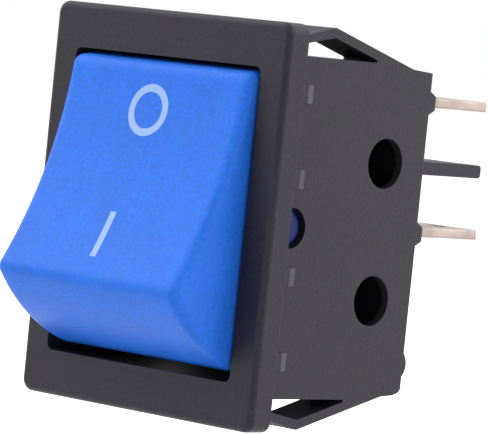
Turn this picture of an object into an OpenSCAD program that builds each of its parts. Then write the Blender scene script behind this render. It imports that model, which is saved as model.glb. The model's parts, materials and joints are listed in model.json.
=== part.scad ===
// Panel-mount rocker switch with two poles, on and off.
// X is to the right, Y to the rear and Z up. The origin is the centre of the bezel's back face,
// which lies on the panel. The rocker is drawn at off, with its upper end pressed in.

/* [Bezel] */
// Width of the bezel
bezel_w = 25.7; // [24.6:0.1:30]
// Height of the bezel
bezel_h = 31.5; // [29.5:0.1:36]
// Thickness of the bezel
bezel_t = 2.2; // [1.4:0.1:2.6]
// Plan radius of the bezel's corners
bezel_corner_r = 1; // [0.6:0.1:1.6]
// Radius round the bezel's front edge
bezel_edge_r = 0.5; // [0.2:0.05:0.55]

/* [Body] */
// Width of the body behind the panel
body_w = 21.8; // [21.2:0.1:23.6]
// Height of the body at the panel
body_h = 26.6; // [25.4:0.1:28]
// Depth of the body behind the panel
body_d = 17; // [16:0.1:20]
// How far each end of the body leans in towards the back
end_draft = 0.42; // [0.1:0.02:0.5]
// Distance behind the panel where the ends begin to lean
draft_y = 11; // [9:0.1:13]
// Thickness of the side walls
side_wall = 0.7; // [0.6:0.05:1]
// Thickness of the end walls at the panel
end_wall = 1.15; // [0.7:0.05:1.3]
// Thickness of the body's rear wall
floor_t = 1.5; // [1:0.1:2]
// Plan radius of the cavity's corners
cavity_corner_r = 0.6; // [0.3:0.1:1]
// Chamfer on the rear edges of the sides
rear_chamfer = 0.12; // [0.1:0.02:0.6]
// Radius of the lower rear edge
rear_edge_r = 0.9; // [0.3:0.1:1.2]
// Thickness of the wall between the two poles
partition_t = 1; // [0.6:0.1:1.4]
// Distance of that wall's front edge behind the panel
partition_y = 8.4; // [7.8:0.1:10]
// Diameter of the round holes in the side walls
side_hole_d = 4; // [3:0.1:4.6]
// Distance of those holes behind the panel
side_hole_y = 12.3; // [11:0.1:12.8]
// Distance between the two holes of one side
side_hole_pitch = 10.9; // [9:0.1:13]

/* [Panel fixing] */
// Width of a snap arm
arm_w = 3.6; // [2.4:0.1:5]
// Thickness of a snap arm
arm_t = 0.78; // [0.5:0.02:0.9]
// How far a snap arm stands out from the end of the body
arm_reach = 2.4; // [2:0.1:3]
// Distance of a snap arm's highest point behind the panel
arm_apex_y = 5.1; // [4.4:0.1:6]
// Distance of a snap arm's toe behind the panel
arm_toe_y = 2.2; // [1.6:0.1:3]
// How far the toe lies below the highest point
arm_toe_drop = 0.76; // [0.5:0.02:1.2]
// Distance of a snap arm's root behind the panel
arm_root_y = 14.6; // [13.6:0.1:15.4]
// Radius of the fillet under a snap arm's root
arm_root_r = 0.12; // [0.06:0.02:0.2]
// Number of gripping teeth on a snap arm
arm_teeth = 4; // [3:1:6]
// Height of a crush rib on the side of the body
rib_h = 0.3; // [0.15:0.05:0.5]
// Width of a crush rib
rib_w = 1.45; // [1:0.05:2]
// Length of a crush rib's straight part
rib_l = 2.3; // [1.4:0.1:3]
// Length of the ramp at its end
rib_ramp = 0.85; // [0.4:0.05:1.4]
// Height of the inner ribs from the middle
rib_inner_z = 3.8; // [3:0.1:5]
// Distance of the outer ribs from the ends of the body
rib_end = 2.9; // [2:0.1:4]

/* [Rear face] */
// Distance of the outer rows of terminals from the ends of the cavity
row_end = 1.65; // [1.5:0.05:2.2]
// Height of the raised land at a row of terminals
land_h = 0.7; // [0.2:0.05:0.8]
// Height of the rounded land at the row without terminals
blank_land_h = 0.4; // [0.2:0.05:0.8]
// Width of a land at its base
land_base = 1.9; // [1.6:0.1:2.6]
// Width of a land at its top
land_top = 1.1; // [1:0.05:1.4]
// Length of the barrier between the rows
barrier_l = 7.1; // [5:0.05:9]
// Thickness of the barrier
barrier_t = 1.05; // [0.8:0.05:1.6]
// Height of the barrier from the middle
barrier_z = 5.3; // [4:0.1:7]
// Radius of the barrier's rear edges
barrier_r = 0.3; // [0.1:0.05:0.38]

/* [Rocker] */
// Angle from the rocker's middle to either end of its travel
rocker_tilt = 20; // [16:0.5:21]
// Distance of the pivot behind the panel
pivot_y = 2.2; // [1.8:0.1:2.6]
// Diameter of the pivot pins
pivot_d = 3.1; // [2.4:0.1:3.4]
// Depth of a pivot pin in its wall
pivot_grip = 0.4; // [0.3:0.05:0.5]
// Radius of the hollow front face
face_r = 37; // [30:1:80]
// Distance from the pivot to the middle of the face
face_mid = 7.65; // [7.2:0.05:8.2]
// Radius of the end faces
end_r = 15; // [13.5:0.1:17]
// Gap between the rocker's ends and the cavity
end_gap = 0.28; // [0.2:0.02:0.5]
// Gap between the rocker's sides and the cavity
side_gap = 0.25; // [0.2:0.05:0.6]
// Wall of the rocker
rocker_wall = 1.2; // [0.9:0.05:1.5]
// Depth of the rocker's skirt past the pivot
skirt = 0.8; // [0.4:0.1:1.2]
// Radius of the ridge at each end of the face
ridge_r = 0.9; // [0.4:0.05:1]
// Radius of the edges along the sides
rocker_edge_r = 0.8; // [0.3:0.05:0.9]
// Diameter of the rocker's two legs
leg_d = 4.6; // [4.2:0.1:4.8]
// Length of the legs past the pivot
leg_l = 7; // [6.4:0.1:7.4]

/* [Contacts] */
// Distance between the two poles
pole_pitch = 10.5; // [10:0.1:11]
// Width of a terminal's blade
blade_w = 6.3; // [4.8:0.1:6.4]
// Thickness of a terminal
blade_t = 0.8; // [0.6:0.05:0.9]
// Length of the switched blades behind the body
blade_l = 11; // [9.6:0.1:13]
// How much further the common blades stand out
common_extra = 0.4; // [0:0.1:1]
// Chamfer at the corners of a blade's tip
blade_chamfer = 1.2; // [0.6:0.1:1.6]
// Radius of a blade's long edges
blade_edge_r = 0.18; // [0.05:0.01:0.28]
// How much a blade's tip is thinned on each face
blade_thinning = 0.2; // [0.1:0.02:0.25]
// Length of the thinned tip
blade_bevel_l = 0.8; // [0.4:0.1:1.2]
// Diameter of the hole in a blade
blade_hole_d = 1.8; // [1.4:0.1:2]
// Distance of that hole from the tip
blade_hole_end = 2.8; // [2.4:0.1:3.2]
// How far the shoulder of a terminal stands out on each side
shoulder = 0.35; // [0.2:0.05:0.45]
// Angle of a contact lever from its middle to either end of its travel
lever_swing = 8; // [6:0.5:8.5]
// Width of a contact lever
lever_w = 4.4; // [3.6:0.1:5]
// Thickness of a contact lever
lever_t = 0.8; // [0.6:0.05:0.9]
// Distance of the bend in front of the lever's rocking edge
saddle_h = 0.6; // [0.5:0.05:0.7]
// Distance of the contacts from the outer row towards the middle
contact_in = 2.2; // [2:0.1:2.9]
// Length of the lever's free arm
free_arm_l = 7.4; // [6.6:0.1:7.8]
// Diameter of a contact's head
contact_d = 3.2; // [2.6:0.1:3.4]
// Thickness of a contact's head
contact_t = 0.6; // [0.4:0.05:0.7]
// Diameter of a contact's shank
shank_d = 1.8; // [1.2:0.1:2]
// Diameter of a plunger
plunger_d = 3; // [2.6:0.1:3.2]
// Distance from the pivot to the plunger's tip
plunger_reach = 9.6; // [9.3:0.1:9.9]
// Length of a plunger without its stub
plunger_l = 4.6; // [4:0.1:5]
// Diameter of the coil springs
spring_d = 2.7; // [2.2:0.1:2.8]
// Diameter of the spring wire
wire_d = 0.4; // [0.3:0.05:0.45]
// Number of turns in a spring
spring_turns = 9; // [7:1:11]

/* [Clearances] */
// Gap of a pin in its bore
fit_gap = 0.05; // [0.03:0.01:0.09]
// Gap between pieces that come to rest on each other
rest_gap = 0.08; // [0.05:0.01:0.12]
// Gap between a plunger's tip and its lever at either end of the travel
track_gap = 0.36; // [0.28:0.01:0.44]

/* [Hidden] */
$fn = 96;
cut = 1; // how far a cutting tool runs past a face
root = 0.2; // how far a feature is sunk into what carries it

// Sizes of the cavity and the rocker in it
cavity_w = body_w - 2 * side_wall;
cavity_h = body_h - 2 * end_wall;
floor_y = body_d - floor_t;
rear_w = body_w - 2 * rear_chamfer;
row_pitch = cavity_h / 2 - row_end;
rib_outer_z = body_h / 2 - rib_end;
rocker_w = cavity_w - 2 * side_gap;
end_reach = cavity_h / 2 - end_gap;
pivot_end = cavity_w / 2 + pivot_grip;
pivot_chamfer = pivot_grip;
ear_r = pivot_d / 2 + rocker_wall;
web_t = 1;
web_l = 2;

// Centres of the rocker's arcs, in its own section: first along Y, then along Z
end_centre = [0, end_reach - end_r];
face_centre = [-face_mid - face_r, 0];

// The point with the larger second coordinate where two circles meet
function meet(a, ra, b, rb) =
    let (d = norm(b - a), u = (b - a) / d, along = (ra * ra - rb * rb + d * d) / (2 * d))
    let (foot = a + along * u, off = sqrt(ra * ra - along * along) * [-u.y, u.x])
    off.y > 0 ? foot + off : foot - off;

// The ridge between the face and the upper end: its sharp corner, its round and the tangent points
ridge_sharp = meet(end_centre, end_r, face_centre, face_r);
ridge_centre = meet(end_centre, end_r - ridge_r, face_centre, face_r + ridge_r);
ridge_on_end = end_centre + (ridge_centre - end_centre) * end_r / (end_r - ridge_r);
ridge_on_face = face_centre + (ridge_centre - face_centre) * face_r / (face_r + ridge_r);
ridge_outside = 1.5 * ridge_sharp - 0.5 * ridge_centre;

// A point of the rocker's section with its upper end pressed in
function pressed(y, z) = [
    pivot_y + y * cos(rocker_tilt) + z * sin(rocker_tilt),
    z * cos(rocker_tilt) - y * sin(rocker_tilt)
];
stop_in = pressed(skirt + rest_gap, end_reach - 2 * rocker_wall);
stop_out = pressed(skirt + rest_gap, end_reach + rocker_wall);

// The lever's arms are bent so that the plunger's tip runs along them at one gap
plunger_r = plunger_d / 2;
bore_r = plunger_r + fit_gap;
tip_centre = plunger_reach - plunger_r;
function hinge_drop(bend) = saddle_h + (plunger_r + lever_t / 2 + track_gap) / cos(bend);
function arm_bend(drop) = lever_swing + atan2(
    tip_centre * (1 - cos(rocker_tilt)) + drop * (1 - cos(lever_swing)),
    tip_centre * sin(rocker_tilt) - drop * sin(lever_swing)
);
lever_bend = arm_bend(hinge_drop(arm_bend(hinge_drop(rocker_tilt))));
hinge_y = pivot_y + tip_centre + hinge_drop(lever_bend);
contact_s = row_pitch - contact_in;
contact_arm_l = contact_s + contact_d / 2;
groove_r = blade_t / 2 + fit_gap;
saddle_r = groove_r + 0.7 * lever_t;
tail_d = 0.5 * (contact_d + shank_d);
tail_t = contact_t / 2;

// The closed arm's own angle, and a point beside it: s along the arm and y behind its middle
closed_angle = lever_bend - lever_swing;
function closed_point(s, y) = [
    hinge_y - saddle_h * cos(lever_swing) - s * sin(closed_angle) + y * cos(closed_angle),
    saddle_h * sin(lever_swing) + s * cos(closed_angle) + y * sin(closed_angle)
];
// The head of a switched terminal lies under the closed contacts
head_y = lever_t / 2 + 2 * contact_t + rest_gap;
head_w = contact_d + 1.8;
head_in = contact_s - contact_d / 2 - 0.4;
head_out = (row_pitch + blade_t / 2 - closed_point(0, head_y + blade_t).y) / cos(closed_angle);
switched_top = closed_point(head_out - blade_t / 2, head_y + blade_t / 2).x;
// The post that stops a lever's free arm
post_r = 0.6;
post_w = 3;
post_centre = closed_point(free_arm_l - post_r, lever_t / 2 + rest_gap + post_r);

// The spring between its seat in the leg and the plunger
spring_end = plunger_reach - plunger_l;
spring_seat = -face_mid + 2.6 * rocker_wall;
stub_l = 1;
stub_d = spring_d - 2 * wire_d - 0.4;

// Colours
charcoal = [0.16, 0.155, 0.165];
blue = [0.12, 0.38, 0.92];
tinned = [0.80, 0.74, 0.69];
brass = [0.80, 0.66, 0.40];
silver = [0.86, 0.86, 0.84];
nylon = [0.88, 0.87, 0.82];
steel = [0.62, 0.63, 0.65];

LEFT = -1;
RIGHT = 1;

// A flat section, first coordinate Y and second Z, drawn out along X
module along_x(length) {
    rotate([90, 0, 90]) linear_extrude(length, center = true) children();
}

module rounded_rectangle(w, h, r) {
    square([w - 2 * r, h], center = true);
    square([w, h - 2 * r], center = true);
    for (x = [-1, 1], y = [-1, 1])
        translate([x * (w / 2 - r), y * (h / 2 - r)]) circle(r);
}

// Places for the moving pieces
module at_rocker() {
    translate([0, pivot_y, 0]) rotate([-rocker_tilt, 0, 0]) children();
}

module at_pole(side) {
    translate([side * pole_pitch / 2, 0, 0]) children();
}

module at_lever(swing) {
    translate([0, hinge_y, 0]) rotate([swing, 0, 0]) children();
}

// On the lever's contact arm: Z along the arm from the bend, Y to its rear
module on_arm(swing) {
    at_lever(swing) translate([0, -saddle_h, 0]) rotate([lever_bend, 0, 0]) children();
}

// Bezel: one section with a rounded front edge, revolved at the corners and drawn along the sides
module bezel_section() {
    square([bezel_corner_r - bezel_edge_r, bezel_t]);
    square([bezel_corner_r, bezel_t - bezel_edge_r]);
    translate([bezel_corner_r - bezel_edge_r, bezel_t - bezel_edge_r]) circle(bezel_edge_r);
}

module bezel() {
    straight_w = bezel_w - 2 * bezel_corner_r;
    straight_h = bezel_h - 2 * bezel_corner_r;
    rotate([90, 0, 0]) {
        translate([0, 0, bezel_t / 2]) cube([straight_w, straight_h, bezel_t], center = true);
        for (x = [-1, 1], y = [-1, 1])
            translate([x * straight_w / 2, y * straight_h / 2, 0]) rotate_extrude() bezel_section();
        for (turn = [0, 180]) rotate([0, 0, turn]) {
            translate([straight_w / 2, 0, 0])
                rotate([90, 0, 0]) linear_extrude(straight_h, center = true) bezel_section();
            translate([0, straight_h / 2, 0])
                rotate([90, 0, 90]) linear_extrude(straight_w, center = true) bezel_section();
        }
    }
}

// Body: its side section, with leaning ends and a round lower rear edge, met with its plan
function end_z(y) = body_h / 2 - end_draft * max(0, y - draft_y) / (body_d - draft_y);

module body_side() {
    front_h = body_h / 2;
    rear_h = front_h - end_draft;
    round_y = body_d - rear_edge_r;
    difference() {
        polygon([
            [-root, front_h], [draft_y, front_h], [body_d, rear_h],
            [body_d, -rear_h], [draft_y, -front_h], [-root, -front_h]
        ]);
        translate([round_y, -rear_h - root]) square([rear_edge_r + cut, rear_edge_r + root]);
    }
    translate([round_y, rear_edge_r - rear_h]) circle(rear_edge_r);
}

module body_plan() {
    polygon([
        [-body_w / 2, -root], [body_w / 2, -root], [body_w / 2, body_d - rear_chamfer],
        [rear_w / 2, body_d], [-rear_w / 2, body_d], [-body_w / 2, body_d - rear_chamfer]
    ]);
}

module body() {
    intersection() {
        along_x(body_w + cut) body_side();
        linear_extrude(body_h + cut, center = true) body_plan();
    }
}

module cavity() {
    translate([0, floor_y, 0]) rotate([90, 0, 0])
        linear_extrude(floor_y + bezel_t + cut) rounded_rectangle(cavity_w, cavity_h, cavity_corner_r);
}

// Raised lands on the rear face: bevelled at the rows of terminals, rounded at the row without any
module lands() {
    for (row = [0, 1])
        along_x(rear_w) translate([body_d, row * row_pitch]) polygon([
            [-root, -land_base / 2], [0, -land_base / 2], [land_h, -land_top / 2],
            [land_h, land_top / 2], [0, land_base / 2], [-root, land_base / 2]
        ]);
    r = (land_base * land_base / 4 + blank_land_h * blank_land_h) / (2 * blank_land_h);
    along_x(rear_w) translate([body_d, -row_pitch]) intersection() {
        translate([blank_land_h - r, 0]) circle(r);
        translate([-root, -land_base / 2]) square([root + 2 * blank_land_h, land_base]);
    }
}

module barrier() {
    tip = barrier_l - barrier_r;
    along_x(rear_w) translate([body_d, barrier_z]) {
        translate([-root, -barrier_t / 2]) square([root + tip, barrier_t]);
        translate([0, barrier_r - barrier_t / 2]) square([barrier_l, barrier_t - 2 * barrier_r]);
        for (edge = [-1, 1])
            translate([tip, edge * (barrier_t / 2 - barrier_r)]) circle(barrier_r);
    }
}

// Snap arm: springs from the rear of the body's end, with gripping teeth between apex and toe
module arm_side() {
    top = body_h / 2;
    apex = [arm_apex_y, top + arm_reach];
    toe = [arm_toe_y, top + arm_reach - arm_toe_drop];
    foot = [arm_root_y, end_z(arm_root_y)];
    slope = (apex.y - foot.y) / (foot.x - apex.x);
    inner_root_y = apex.x + (arm_reach - arm_t) / slope;
    lean = atan(slope);
    fillet_l = arm_root_r / tan(lean / 2);
    step = (toe - apex) / arm_teeth;
    tread = [0.85 * step.x, 0.5 * step.y];
    teeth = [for (n = [0 : arm_teeth - 1]) each [apex + n * step + tread, apex + (n + 1) * step]];
    polygon(concat(
        [foot - [0, root], foot, apex],
        teeth,
        [
            toe - [arm_t / 4, 0.8 * arm_t],
            apex - [0, arm_t],
            [inner_root_y, top],
            [inner_root_y, foot.y - root]
        ]
    ));
    difference() {
        translate([inner_root_y, top]) polygon([
            [0, -root], [0, 0], fillet_l * [-cos(lean), sin(lean)], [-fillet_l, 0], [-fillet_l, -root]
        ]);
        translate([inner_root_y - fillet_l, top + arm_root_r]) circle(arm_root_r);
    }
}

module snap_arms() {
    for (x = [-1, 1], z = [0, 1])
        translate([x * (body_w - arm_w) / 2, 0, 0]) mirror([0, 0, z]) along_x(arm_w) arm_side();
}

module crush_ribs() {
    face = body_w / 2;
    for (x = [0, 1], z = [-rib_outer_z, -rib_inner_z, rib_inner_z, rib_outer_z])
        mirror([x, 0, 0]) translate([0, 0, z]) linear_extrude(rib_w, center = true) polygon([
            [face - root, -root], [face + rib_h, -root], [face + rib_h, rib_l],
            [face, rib_l + rib_ramp], [face - root, rib_l + rib_ramp]
        ]);
}

// Wall between the poles, with a raised stop under each end of the rocker
module partition() {
    stop = [[floor_y + root, stop_out.y], stop_out, stop_in, [partition_y, stop_in.y - rocker_wall]];
    below = [for (n = [len(stop) - 1 : -1 : 0]) [stop[n].x, -stop[n].y]];
    along_x(partition_t) polygon(concat(stop, below));
}

module lever_posts() {
    for (side = [LEFT, RIGHT])
        at_pole(side) along_x(post_w) translate([post_centre.x, -post_centre.y]) {
            circle(post_r);
            translate([0, -post_r]) square([floor_y + root - post_centre.x, 2 * post_r]);
        }
}

module terminal_slots() {
    for (side = [LEFT, RIGHT], row = [0, 1])
        at_pole(side) translate([0, body_d, row * row_pitch])
            cube([blade_w + 2 * fit_gap, 2 * floor_t + cut, blade_t + 2 * fit_gap], center = true);
}

module side_holes() {
    for (z = [-1, 1])
        translate([0, side_hole_y, z * side_hole_pitch / 2]) rotate([0, 90, 0])
            cylinder(h = body_w + cut, d = side_hole_d, center = true);
}

module pivot_bore() {
    translate([0, pivot_y, 0]) rotate([0, 90, 0])
        cylinder(h = body_w + cut, d = pivot_d + 2 * fit_gap, center = true);
}

module housing() {
    color(charcoal) {
        difference() {
            union() {
                bezel();
                body();
                lands();
                barrier();
                snap_arms();
                crush_ribs();
            }
            cavity();
            terminal_slots();
            side_holes();
            pivot_bore();
        }
        partition();
        lever_posts();
    }
}

// Rocker section across the pivot: two end arcs and the hollow face, all moved in by inset
module rocker_section(inset, depth) {
    difference() {
        intersection() {
            translate(end_centre) circle(end_r - inset);
            translate(-end_centre) circle(end_r - inset);
            translate([-end_r, -end_r]) square([end_r + depth, 2 * end_r]);
        }
        translate(face_centre) circle(face_r + inset);
    }
}

// The sector that the ridge's round takes up
module ridge_corner(z) {
    polygon([for (p = [ridge_centre, ridge_on_end, ridge_outside, ridge_on_face]) [p.x, z * p.y]]);
}

module rocker_outline() {
    difference() {
        rocker_section(0, skirt);
        for (z = [-1, 1]) ridge_corner(z);
    }
    for (z = [-1, 1])
        translate([ridge_centre.x, z * ridge_centre.y]) circle(ridge_r);
}

// Rings that round the rocker's edges along its sides, with the fillet limited by the ridge
module edge_ring(radius, out, fillet = rocker_edge_r) {
    side = rocker_w / 2 - fillet;
    middle = radius - out * fillet;
    rotate([0, 90, 0]) rotate_extrude() difference() {
        translate([min(middle, radius + out * cut), side]) square([fillet + cut, fillet + cut]);
        translate([middle, side]) circle(fillet);
    }
}

module rocker_edges() {
    for (x = [0, 1]) mirror([x, 0, 0]) {
        translate([0, face_centre.x, 0]) edge_ring(face_r, -1);
        for (z = [-1, 1]) {
            translate([0, 0, z * end_centre.y]) edge_ring(end_r, 1);
            intersection() {
                translate([0, ridge_centre.x, z * ridge_centre.y])
                    edge_ring(ridge_r, 1, min(rocker_edge_r, 0.9 * ridge_r));
                along_x(rocker_w + 2 * cut) ridge_corner(z);
            }
        }
    }
}

module pivot_pin() {
    straight = pivot_end - pivot_chamfer;
    rotate([0, 90, 0]) {
        cylinder(h = straight, d = pivot_d);
        translate([0, 0, straight])
            cylinder(h = pivot_chamfer, d1 = pivot_d, d2 = pivot_d - 2 * pivot_chamfer);
    }
}

module rocker_shell() {
    difference() {
        union() {
            difference() {
                along_x(rocker_w) rocker_outline();
                rocker_edges();
            }
            rotate([0, 90, 0]) cylinder(h = rocker_w, r = ear_r, center = true);
        }
        along_x(rocker_w - 2 * rocker_wall) rocker_section(rocker_wall, ear_r + cut);
    }
}

module rocker_legs() {
    top = -face_mid + rocker_wall - root;
    for (side = [LEFT, RIGHT])
        at_pole(side) translate([0, top, 0]) rotate([-90, 0, 0]) cylinder(h = leg_l - top, d = leg_d);
    translate([0, (top + web_l) / 2, 0])
        cube([rocker_w - 2 * rocker_wall + 2 * root, web_l - top, web_t], center = true);
}

module rocker() {
    color(blue) at_rocker() {
        difference() {
            union() {
                rocker_shell();
                rocker_legs();
            }
            for (side = [LEFT, RIGHT])
                at_pole(side) translate([0, spring_seat, 0]) rotate([-90, 0, 0])
                    cylinder(h = leg_l - spring_seat + cut, r = bore_r);
        }
        for (x = [0, 1])
            mirror([x, 0, 0]) intersection() {
                pivot_pin();
                translate([rocker_w / 2 - rocker_wall, -pivot_d, -pivot_d])
                    cube([pivot_end, 2 * pivot_d, 2 * pivot_d]);
            }
    }
}

// Plunger, drawn about its own axis with the shoulder at the bottom and the round tip at the top
module plunger(side) {
    straight = plunger_l - plunger_r;
    color(nylon) at_rocker() at_pole(side) translate([0, spring_end, 0]) rotate([-90, 0, 0])
        rotate_extrude() {
            square([plunger_r, straight]);
            translate([0, -stub_l]) square([stub_d / 2, stub_l + root]);
            intersection() {
                translate([0, straight]) circle(plunger_r);
                square([plunger_r, plunger_l]);
            }
        }
}

// Spring wire swept along a helix whose end turns are closed
WIRE_SIDES = 8;
TURN_STEPS = 14;
module spring(side) {
    coil_r = (spring_d - wire_d) / 2;
    length = spring_end - spring_seat - wire_d - rest_gap;
    closed = 1.08 * wire_d;
    open = (length - 2 * closed) / (spring_turns - 2);
    steps = spring_turns * TURN_STEPS;
    function rise(u) =
        u < 1 ? closed * u
        : u > spring_turns - 1 ? length - closed * (spring_turns - u)
        : closed + open * (u - 1);
    points = [
        for (n = [0 : steps], k = [0 : WIRE_SIDES - 1])
            let (turn = 360 * n / TURN_STEPS, around = 360 * k / WIRE_SIDES)
            let (r = coil_r + wire_d / 2 * cos(around))
            [r * cos(turn), r * sin(turn), rise(n / TURN_STEPS) + wire_d / 2 * sin(around)]
    ];
    skin = [
        for (n = [0 : steps - 1], k = [0 : WIRE_SIDES - 1])
            let (a = n * WIRE_SIDES + k, b = n * WIRE_SIDES + (k + 1) % WIRE_SIDES)
            [a, b, b + WIRE_SIDES, a + WIRE_SIDES]
    ];
    start = [for (k = [WIRE_SIDES - 1 : -1 : 0]) k];
    finish = [for (k = [0 : WIRE_SIDES - 1]) steps * WIRE_SIDES + k];
    color(steel) at_rocker() at_pole(side) translate([0, spring_seat + wire_d / 2, 0])
        rotate([-90, 0, 0]) polyhedron(points, concat(skin, [start, finish]));
}

// Contact lever: two bent arms and a saddle that sits on the common terminal's edge
module lever_section() {
    difference() {
        union() {
            translate([-saddle_h, 0]) {
                rotate(lever_bend) translate([-lever_t / 2, 0]) square([lever_t, contact_arm_l]);
                rotate(-lever_bend) translate([-lever_t / 2, -free_arm_l])
                    square([lever_t, free_arm_l]);
            }
            difference() {
                circle(saddle_r);
                translate([0, -saddle_r]) square(2 * saddle_r);
            }
        }
        circle(groove_r);
    }
}

module contact_lever(side) {
    color(brass) at_pole(side) difference() {
        at_lever(lever_swing) along_x(lever_w) lever_section();
        on_arm(lever_swing) translate([0, 0, contact_s]) rotate([90, 0, 0])
            cylinder(h = lever_t + cut, d = shank_d + 2 * fit_gap, center = true);
    }
}

// Contact rivet: a domed face is left flat; the tail is set on the other side of its carrier
module contact_rivet() {
    rotate_extrude() {
        square([contact_d / 2, contact_t]);
        translate([0, -lever_t]) square([shank_d / 2, lever_t + contact_t]);
        translate([0, -lever_t - tail_t]) square([tail_d / 2, tail_t]);
    }
}

module moving_contact(side) {
    color(silver) at_pole(side) on_arm(lever_swing)
        translate([0, lever_t / 2, contact_s]) rotate([-90, 0, 0]) contact_rivet();
}

// Tail of a terminal: rounded long edges, cut to its outline and thinned towards the tip
module blade_tail(tip) {
    half = blade_w / 2;
    thick = blade_t / 2;
    intersection() {
        translate([0, floor_y - root, 0]) rotate([-90, 0, 0])
            linear_extrude(tip - floor_y + root) rounded_rectangle(blade_w, blade_t, blade_edge_r);
        linear_extrude(blade_t + cut, center = true) polygon([
            [-half - cut, floor_y - cut], [half + cut, floor_y - cut],
            [half + cut, tip - blade_chamfer - cut], [half - blade_chamfer, tip],
            [blade_chamfer - half, tip], [-half - cut, tip - blade_chamfer - cut]
        ]);
        along_x(blade_w + cut) polygon([
            [floor_y - cut, -thick], [tip - blade_bevel_l, -thick], [tip, blade_thinning - thick],
            [tip, thick - blade_thinning], [tip - blade_bevel_l, thick], [floor_y - cut, thick]
        ]);
    }
}

// Terminals: a blade with a shoulder on the inside of the rear wall
module blade(inner_end, tip) {
    shoulder_w = blade_w + 2 * shoulder;
    difference() {
        union() {
            translate([-shoulder_w / 2, inner_end, -blade_t / 2])
                cube([shoulder_w, floor_y - inner_end, blade_t]);
            blade_tail(tip);
        }
        translate([0, tip - blade_hole_end, 0])
            cylinder(h = blade_t + cut, d = blade_hole_d, center = true);
    }
}

module common_terminal(side) {
    color(tinned) at_pole(side) {
        blade(hinge_y, body_d + blade_l + common_extra);
        translate([0, hinge_y, 0]) rotate([0, 90, 0])
            cylinder(h = blade_w + 2 * shoulder, d = blade_t, center = true);
    }
}

module switched_terminal(side) {
    color(tinned) at_pole(side) {
        translate([0, 0, row_pitch]) blade(switched_top, body_d + blade_l);
        difference() {
            on_arm(-lever_swing) translate([-head_w / 2, head_y, head_in])
                cube([head_w, blade_t, head_out - head_in]);
            on_arm(-lever_swing) translate([0, head_y, contact_s]) rotate([90, 0, 0])
                cylinder(h = 2 * blade_t + cut, d = shank_d + 2 * fit_gap, center = true);
        }
    }
}

module fixed_contact(side) {
    color(silver) at_pole(side) on_arm(-lever_swing)
        translate([0, head_y, contact_s]) rotate([90, 0, 0]) contact_rivet();
}

housing();
rocker();
plunger(LEFT);  // left_plunger
plunger(RIGHT);  // right_plunger
spring(LEFT);  // left_spring
spring(RIGHT);  // right_spring
contact_lever(LEFT);  // left_contact_lever
contact_lever(RIGHT);  // right_contact_lever
moving_contact(LEFT);  // left_moving_contact
moving_contact(RIGHT);  // right_moving_contact
common_terminal(LEFT);  // left_common_terminal
common_terminal(RIGHT);  // right_common_terminal
switched_terminal(LEFT);  // left_switched_terminal
switched_terminal(RIGHT);  // right_switched_terminal
fixed_contact(LEFT);  // left_fixed_contact
fixed_contact(RIGHT);  // right_fixed_contact
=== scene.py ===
"""Looks of the panel rocker switch: finishes, printed signs, stage, light and camera.

Everything is in metres, in the part's own frame: X to the right, Y to the rear, Z up, and the
origin at the centre of the bezel's back face.
"""
import json
import math

import bmesh
import bpy
from mathutils import Matrix, Vector


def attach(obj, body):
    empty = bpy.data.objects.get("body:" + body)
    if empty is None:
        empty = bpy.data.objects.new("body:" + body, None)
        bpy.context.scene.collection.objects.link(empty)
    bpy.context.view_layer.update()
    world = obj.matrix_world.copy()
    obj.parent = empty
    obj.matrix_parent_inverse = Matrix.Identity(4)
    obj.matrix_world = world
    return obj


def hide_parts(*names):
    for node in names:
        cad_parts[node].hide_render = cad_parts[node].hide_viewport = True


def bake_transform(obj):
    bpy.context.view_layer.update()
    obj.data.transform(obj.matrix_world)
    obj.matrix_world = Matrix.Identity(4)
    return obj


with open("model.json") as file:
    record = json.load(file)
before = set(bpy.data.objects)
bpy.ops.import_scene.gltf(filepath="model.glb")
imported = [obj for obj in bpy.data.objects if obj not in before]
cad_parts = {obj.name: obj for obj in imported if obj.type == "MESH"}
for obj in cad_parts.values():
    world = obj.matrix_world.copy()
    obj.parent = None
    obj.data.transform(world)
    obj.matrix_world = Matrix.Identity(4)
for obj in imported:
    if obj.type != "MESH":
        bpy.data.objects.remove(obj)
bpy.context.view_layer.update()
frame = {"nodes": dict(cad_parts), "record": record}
nodes = frame["nodes"]

MM = 0.001

# The rocker's hollow face, as the solid has it
PIVOT_Y = 2.2 * MM
ROCKER_TILT = math.radians(20)
FACE_RADIUS = 37 * MM
FACE_MIDDLE = 7.65 * MM

# Printed signs: places across the face and along its arc, up from the middle
SIGN_X = -0.15 * MM
RING_ALONG = 5.45 * MM
RING_RADIUS = 2.1 * MM
RING_STROKE = 0.62 * MM
BAR_ALONG = -5.03 * MM
BAR_LENGTH = 4.0 * MM
BAR_WIDTH = 0.62 * MM
INK_LIFT = 0.015 * MM
INK_SINK = 0.03 * MM

# Camera fitted to the photograph, in degrees, pixels and metres
PHOTO_WIDTH = 488
SENSOR_WIDTH = 36
CLIP_START = 10 * MM
CAMERA_AZIMUTH = math.radians(43.5195)
CAMERA_ELEVATION = math.radians(2.69)
CAMERA_ROLL = math.radians(5.8174)
CAMERA_FOCAL_PIXELS = 3992.51
CAMERA_DISTANCE = 313.6006 * MM
CAMERA_RIGHT = 5.7193 * MM
CAMERA_UP = -0.3655 * MM

# Linear colours
HOUSING_COLOUR = (0.022, 0.0193, 0.030)
ROCKER_COLOUR = (0.021, 0.164, 0.77)
# Painted shade: the deep blue laid on the pivot pin's end for the shade in its hole
PIN_SHADE_COLOUR = (0.006, 0.016, 0.11)
INK_COLOUR = (0.27, 0.42, 0.76)
TIN_COLOUR = (0.34, 0.276, 0.246)
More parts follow.
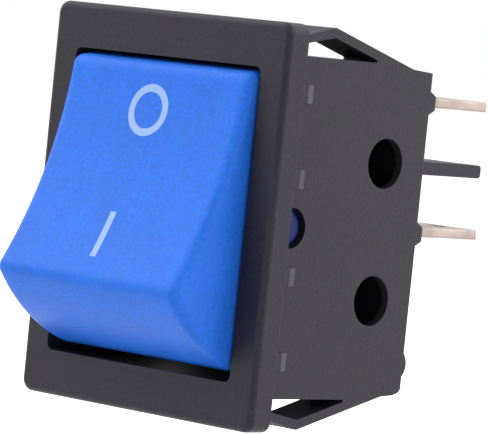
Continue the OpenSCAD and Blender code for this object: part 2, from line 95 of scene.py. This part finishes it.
# Painted shade and reflection: the brown laid on each blade near its root for the shade and the mirrored
# dark housing there
BLADE_ROOT_SHADE_COLOUR = (0.17, 0.135, 0.117)
BRASS_COLOUR = (0.76, 0.56, 0.27)
SILVER_COLOUR = (0.80, 0.80, 0.77)
STEEL_COLOUR = (0.52, 0.53, 0.55)
NYLON_COLOUR = (0.76, 0.75, 0.70)
FLOOR_COLOUR = (0.66, 0.66, 0.66)
WHITE = (1, 1, 1)

# Noise values mostly lie between these two
NOISE_LOW = 0.3
NOISE_HIGH = 0.7
FINE_DETAIL = 3.0
BEVEL_SAMPLES = 6

# Plastic: size of the slow changes of tone, and how far the roughness goes either way with them
TONE_SIZE = 5 * MM
GLOSS_SWING = 0.05
# Painted shade on the pivot pin's end, sunk in its hole in the housing's side: the stretch along X, from
# the middle, where it is laid
PIVOT_PIN_SHADE = (10.15 * MM, 10.35 * MM)

# Metal: clouds of tone between two shares of the colour, and fine streaks in the roughness
CLOUD_SIZE = 1.6 * MM
CLOUD_DARK = 0.78
CLOUD_LIGHT = 1.12
STREAK_WIDTH = 0.06 * MM
STREAK_DEPTH = 0.004 * MM
STREAK_SMOOTHER = 0.08
STREAK_ROUGHER = 0.1
EVEN = (1, 1, 1)
ALONG_BLADE = (1, 30, 1)
# Painted shade and reflection on the blades: from bright to dull along Y towards the housing
BLADE_ROOT_SHADE = (21.4 * MM, 19.6 * MM)

# Ink: uneven cover between two shares of the colour and two roughnesses, with a fine grain
COVER_SIZE = 0.4 * MM
COVER_THIN = 0.9
COVER_THICK = 1.05
INK_SMOOTH = 0.5
INK_ROUGH = 0.62
INK_GRAIN = 0.12 * MM
INK_RELIEF = 0.006 * MM

# Stage
WORLD_STRENGTH = 0.5
FLOOR_HEIGHT = -60 * MM
FLOOR_SIZE = 6.0
FLOOR_ROUGHNESS = 0.9
FLOOR_LIFT = 0.72


class Graph:
    """A new material's node graph, with short calls to add and join nodes."""

    def __init__(self, name):
        self.material = bpy.data.materials.new(name)
        self.material.use_nodes = True
        self.tree = self.material.node_tree
        self.shader = self.tree.nodes["Principled BSDF"]

    def add(self, kind, **settings):
        node = self.tree.nodes.new(kind)
        for key, value in settings.items():
            setattr(node, key, value)
        return node

    def join(self, output, socket):
        self.tree.links.new(output, socket)

    def noise(self, size, stretch=EVEN, detail=2.0):
        """Noise whose blotches are about size across, in metres, drawn out by stretch."""
        place = self.add("ShaderNodeTexCoord")
        mapping = self.add("ShaderNodeMapping")
        mapping.inputs["Scale"].default_value = [1 / (size * s) for s in stretch]
        texture = self.add("ShaderNodeTexNoise")
        texture.inputs["Scale"].default_value = 1.0
        texture.inputs["Detail"].default_value = detail
        self.join(place.outputs["Object"], mapping.inputs["Vector"])
        self.join(mapping.outputs["Vector"], texture.inputs["Vector"])
        return texture.outputs["Fac"]

    def along(self, axis, start, end):
        """Zero at start and one at end, both as distances from the middle along an axis."""
        place = self.add("ShaderNodeTexCoord")
        parts = self.add("ShaderNodeSeparateXYZ")
        either = self.add("ShaderNodeMath", operation="ABSOLUTE")
        node = self.add("ShaderNodeMapRange", interpolation_type="SMOOTHSTEP")
        node.inputs["From Min"].default_value = start
        node.inputs["From Max"].default_value = end
        self.join(place.outputs["Object"], parts.inputs["Vector"])
        self.join(parts.outputs[axis], either.inputs[0])
        self.join(either.outputs["Value"], node.inputs["Value"])
        return node.outputs["Result"]

    def lay_painted_shade(self, tone, colour, cover):
        """A colour laid over a tone where cover is one, used for painted shade."""
        node = self.add("ShaderNodeMix", data_type="RGBA")
        node.inputs["B"].default_value = (*colour, 1)
        self.join(cover, node.inputs["Factor"])
        self.join(tone, node.inputs["A"])
        return node.outputs["Result"]

    def speckle(self, tone, value, depth):
        """A tone darkened by up to depth, by a noise value."""
        node = self.add("ShaderNodeMix", data_type="RGBA", blend_type="MULTIPLY")
        node.inputs["Factor"].default_value = 1.0
        self.join(tone, node.inputs["A"])
        self.join(self.tones(value, shade(WHITE, 1 - depth), WHITE), node.inputs["B"])
        return node.outputs["Result"]

    def spread(self, value, low, high):
        """A noise value spread over low to high."""
        node = self.add("ShaderNodeMapRange")
        node.inputs["From Min"].default_value = NOISE_LOW
        node.inputs["From Max"].default_value = NOISE_HIGH
        node.inputs["To Min"].default_value = low
        node.inputs["To Max"].default_value = high
        self.join(value, node.inputs["Value"])
        return node.outputs["Result"]

    def tones(self, value, dark, light):
        """A colour ramp between two tones, driven by a noise value."""
        node = self.add("ShaderNodeValToRGB")
        first, last = node.color_ramp.elements
        first.position = NOISE_LOW
        first.color = (*dark, 1)
        last.position = NOISE_HIGH
        last.color = (*light, 1)
        self.join(value, node.inputs["Fac"])
        return node.outputs["Color"]

    def bump(self, height, depth, edge=0.0):
        """Surface relief of that depth, on edges softened by a radius of edge."""
        node = self.add("ShaderNodeBump")
        node.inputs["Distance"].default_value = depth
        self.join(height, node.inputs["Height"])
        if edge:
            soft = self.add("ShaderNodeBevel", samples=BEVEL_SAMPLES)
            soft.inputs["Radius"].default_value = edge
            self.join(soft.outputs["Normal"], node.inputs["Normal"])
        self.join(node.outputs["Normal"], self.shader.inputs["Normal"])


def shade(colour, factor):
    return tuple(min(1.0, c * factor) for c in colour)


def plastic(name, colour, specular, roughness, variation, speck, grain, depth, edge, pin_shade=None):
    """Moulded plastic: a fine satin grain, with slow changes of tone and gloss.

    The last argument gives the stretch along X over which painted shade darkens the plastic, for the
    shade on the pivot pin's end in its hole.
    """
    g = Graph(name)
    g.shader.inputs["Specular IOR Level"].default_value = specular
    slow = g.noise(TONE_SIZE)
    tone = g.tones(slow, shade(colour, 1 - variation), shade(colour, 1 + variation))
    tone = g.speckle(tone, g.noise(2 * grain, detail=FINE_DETAIL), speck)
    # Painted shade on the pivot pin's end, where it sits in its hole
    if pin_shade:
        tone = g.lay_painted_shade(tone, PIN_SHADE_COLOUR, g.along("X", *pin_shade))
    g.join(tone, g.shader.inputs["Base Color"])
    gloss = g.spread(slow, roughness - GLOSS_SWING, roughness + GLOSS_SWING)
    g.join(gloss, g.shader.inputs["Roughness"])
    g.bump(g.noise(grain, detail=FINE_DETAIL), depth, edge)
    return g.material


def metal(name, colour, roughness, stretch, edge, root_shade=None):
    """Stamped or drawn metal: fine streaks, drawn out by stretch, and cloudy changes of tone.

    The last argument gives the stretch along Y, from bright to dull, over which painted shade and
    reflection turn the metal brown, for the dark housing near the blade's root.
    """
    g = Graph(name)
    g.shader.inputs["Metallic"].default_value = 1.0
    cloud = g.noise(CLOUD_SIZE)
    streak = g.noise(STREAK_WIDTH, stretch=stretch, detail=FINE_DETAIL)
    tone = g.tones(cloud, shade(colour, CLOUD_DARK), shade(colour, CLOUD_LIGHT))
    # Painted shade and reflection of the dark housing near the blade's root
    if root_shade:
        tone = g.lay_painted_shade(tone, BLADE_ROOT_SHADE_COLOUR, g.along("Y", *root_shade))
    g.join(tone, g.shader.inputs["Base Color"])
    gloss = g.spread(streak, roughness - STREAK_SMOOTHER, roughness + STREAK_ROUGHER)
    g.join(gloss, g.shader.inputs["Roughness"])
    g.bump(streak, STREAK_DEPTH, edge)
    return g.material


def ink(name, colour):
    """Printed ink with slightly uneven cover."""
    g = Graph(name)
    cover = g.noise(COVER_SIZE, detail=FINE_DETAIL)
    tone = g.tones(cover, shade(colour, COVER_THIN), shade(colour, COVER_THICK))
    g.join(tone, g.shader.inputs["Base Color"])
    g.join(g.spread(cover, INK_SMOOTH, INK_ROUGH), g.shader.inputs["Roughness"])
    g.bump(g.noise(INK_GRAIN), INK_RELIEF)
    return g.material


finishes = {
    "housing_plastic": plastic(
        "housing_plastic", HOUSING_COLOUR, specular=0.2, roughness=0.45, variation=0.12, speck=0.35,
        grain=0.16 * MM, depth=0.02 * MM, edge=0.05 * MM),
    # The rocker carries painted shade on its pivot pin's ends
    "rocker_plastic": plastic(
        "rocker_plastic", ROCKER_COLOUR, specular=0.15, roughness=0.42, variation=0.06, speck=0.2,
        grain=0.14 * MM, depth=0.012 * MM, edge=0.7 * MM, pin_shade=PIVOT_PIN_SHADE),
    "plunger_plastic": plastic(
        "plunger_plastic", NYLON_COLOUR, specular=0.4, roughness=0.35, variation=0.05, speck=0.05,
        grain=0.3 * MM, depth=0.01 * MM, edge=0.05 * MM),
    "spring_steel": metal(
        "spring_steel", STEEL_COLOUR, roughness=0.25, stretch=EVEN, edge=0),
    "lever_brass": metal(
        "lever_brass", BRASS_COLOUR, roughness=0.3, stretch=ALONG_BLADE, edge=0.04 * MM),
    "contact_silver": metal(
        "contact_silver", SILVER_COLOUR, roughness=0.35, stretch=EVEN, edge=0.05 * MM),
    # The blades carry painted shade and reflection near their roots
    "terminal_tinned": metal(
        "terminal_tinned", TIN_COLOUR, roughness=0.4, stretch=ALONG_BLADE, edge=0.08 * MM,
        root_shade=BLADE_ROOT_SHADE),
}

for subpart in frame["record"]["subparts"]:
    shown = nodes[subpart["node"]]
    shown.data.materials.clear()
    shown.data.materials.append(finishes[subpart["material_slot"]])


def add_object(name, data):
    thing = bpy.data.objects.new(name, data)
    bpy.context.scene.collection.objects.link(thing)
    return thing


def add_coil(side):
    """A spring's coil between its seat in the rocker and the plunger, copied from the CAD spring, which
    is hidden.
    """
    coil = add_object(f"{side}_coil", nodes[f"{side}_spring"].data.copy())
    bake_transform(coil)
    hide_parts(f"{side}_spring")


for side in ("left", "right"):
    add_coil(side)


def on_face(x, along, lift):
    """A point over the rocker's face at rest: x across, along its arc from the middle, lift above."""
    angle = along / FACE_RADIUS
    radius = FACE_RADIUS - lift
    y = radius * math.cos(angle) - FACE_RADIUS - FACE_MIDDLE
    z = radius * math.sin(angle)
    return Vector((
        x,
        PIVOT_Y + y * math.cos(ROCKER_TILT) + z * math.sin(ROCKER_TILT),
        z * math.cos(ROCKER_TILT) - y * math.sin(ROCKER_TILT),
    ))


def sign(name, sections, closed):
    """A thin piece of ink skinned over sections of four face points each, riding on the rocker."""
    mesh = bmesh.new()
    rings = [[mesh.verts.new(on_face(*point)) for point in section] for section in sections]
    pairs = list(zip(rings, rings[1:]))
    if closed:
        pairs.append((rings[-1], rings[0]))
    else:
        mesh.faces.new(rings[0])
        mesh.faces.new(list(reversed(rings[-1])))
    for here, there in pairs:
        for n in range(4):
            m = (n + 1) % 4
            mesh.faces.new((here[n], there[n], there[m], here[m]))
    bmesh.ops.recalc_face_normals(mesh, faces=mesh.faces)
    data = bpy.data.meshes.new(name)
    mesh.to_mesh(data)
    mesh.free()
    data.materials.append(sign_ink)
    piece = add_object(name, data)
    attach(piece, "rocker")


def ring_sections(steps=128):
    inner = RING_RADIUS - RING_STROKE
    for n in range(steps):
        turn = 2 * math.pi * n / steps
        yield [
            (SIGN_X + radius * math.cos(turn), RING_ALONG + radius * math.sin(turn), lift)
            for radius, lift in (
                (inner, -INK_SINK), (inner, INK_LIFT), (RING_RADIUS, INK_LIFT), (RING_RADIUS, -INK_SINK),
            )
        ]


def bar_sections(steps=24):
    half = BAR_WIDTH / 2
    for n in range(steps + 1):
        along = BAR_ALONG + BAR_LENGTH * (n / steps - 0.5)
        yield [
            (SIGN_X + x, along, lift)
            for x, lift in ((-half, -INK_SINK), (-half, INK_LIFT), (half, INK_LIFT), (half, -INK_SINK))
        ]


sign_ink = ink("sign_ink", INK_COLOUR)
sign("off_sign", list(ring_sections()), closed=True)
sign("on_sign", list(bar_sections()), closed=False)


def camera_axes():
    """Right, up and backwards of the photograph's camera."""
    side, rise = math.sin(CAMERA_AZIMUTH), math.cos(CAMERA_AZIMUTH)
    level = math.cos(CAMERA_ELEVATION)
    back = Vector((side * level, -rise * level, math.sin(CAMERA_ELEVATION)))
    flat_right = Vector((rise, side, 0))
    flat_up = back.cross(flat_right)
    right = math.cos(CAMERA_ROLL) * flat_right + math.sin(CAMERA_ROLL) * flat_up
    up = math.cos(CAMERA_ROLL) * flat_up - math.sin(CAMERA_ROLL) * flat_right
    return right, up, back


def add_camera():
    right, up, back = camera_axes()
    data = bpy.data.cameras.new("camera")
    data.sensor_fit = "HORIZONTAL"
    data.sensor_width = SENSOR_WIDTH
    data.lens = CAMERA_FOCAL_PIXELS * SENSOR_WIDTH / PHOTO_WIDTH
    data.clip_start = CLIP_START
    camera = add_object("camera", data)
    camera.matrix_world = Matrix((right, up, back)).transposed().to_4x4()
    camera.location = CAMERA_RIGHT * right + CAMERA_UP * up + CAMERA_DISTANCE * back
    bpy.context.scene.camera = camera


def area_light(name, toward, distance, size, power):
    """A soft square lamp that looks at the origin from the direction toward."""
    data = bpy.data.lights.new(name, "AREA")
    data.size = size
    data.energy = power
    lamp = add_object(name, data)
    lamp.location = Vector(toward).normalized() * distance
    lamp.rotation_euler = Vector(toward).to_track_quat("Z", "Y").to_euler()


def seen_ray(tree):
    """One for rays by which the camera sees a thing: straight, mirrored or through glass."""
    path = tree.nodes.new("ShaderNodeLightPath")
    seen = path.outputs["Is Camera Ray"]
    for kind in ("Is Glossy Ray", "Is Transmission Ray"):
        either = tree.nodes.new("ShaderNodeMath")
        either.operation = "MAXIMUM"
        tree.links.new(seen, either.inputs[0])
        tree.links.new(path.outputs[kind], either.inputs[1])
        seen = either.outputs["Value"]
    return seen


def add_world():
    """A world that looks plain white and lights the part with its own strength."""
    world = bpy.data.worlds.new("studio")
    world.use_nodes = True
    bpy.context.scene.world = world
    tree = world.node_tree
    lit = tree.nodes["Background"]
    lit.inputs["Color"].default_value = (*WHITE, 1)
    lit.inputs["Strength"].default_value = WORLD_STRENGTH
    plain = tree.nodes.new("ShaderNodeBackground")
    plain.inputs["Color"].default_value = (*WHITE, 1)
    plain.inputs["Strength"].default_value = 1.0
    mix = tree.nodes.new("ShaderNodeMixShader")
    tree.links.new(seen_ray(tree), mix.inputs["Fac"])
    tree.links.new(lit.outputs["Background"], mix.inputs[1])
    tree.links.new(plain.outputs["Background"], mix.inputs[2])
    tree.links.new(mix.outputs["Shader"], tree.nodes["World Output"].inputs["Surface"])


def add_floor():
    """A pale floor that takes shadows and is lifted to white where it is seen."""
    data = bpy.data.meshes.new("floor")
    half = FLOOR_SIZE / 2
    corners = [(-half, -half), (half, -half), (half, half), (-half, half)]
    data.from_pydata([(x, y, FLOOR_HEIGHT) for x, y in corners], [], [(0, 1, 2, 3)])
    g = Graph("floor")
    g.shader.inputs["Base Color"].default_value = (*FLOOR_COLOUR, 1)
    g.shader.inputs["Roughness"].default_value = FLOOR_ROUGHNESS
    g.shader.inputs["Emission Color"].default_value = (*WHITE, 1)
    lift = g.add("ShaderNodeMath", operation="MULTIPLY")
    lift.inputs[1].default_value = FLOOR_LIFT
    g.join(seen_ray(g.tree), lift.inputs[0])
    g.join(lift.outputs["Value"], g.shader.inputs["Emission Strength"])
    data.materials.append(g.material)
    floor = add_object("floor", data)


add_camera()
add_world()
add_floor()
area_light("left", toward=(-0.58, -0.46, 0.72), distance=0.7, size=1.0, power=6.5)
area_light("right_rear", toward=(0.68, 0.6, 0.42), distance=0.7, size=1.7, power=12.0)
area_light("rear", toward=(-0.1, 0.95, 0.1), distance=0.8, size=0.8, power=4.5)
bpy.context.scene.view_settings.view_transform = "Standard"
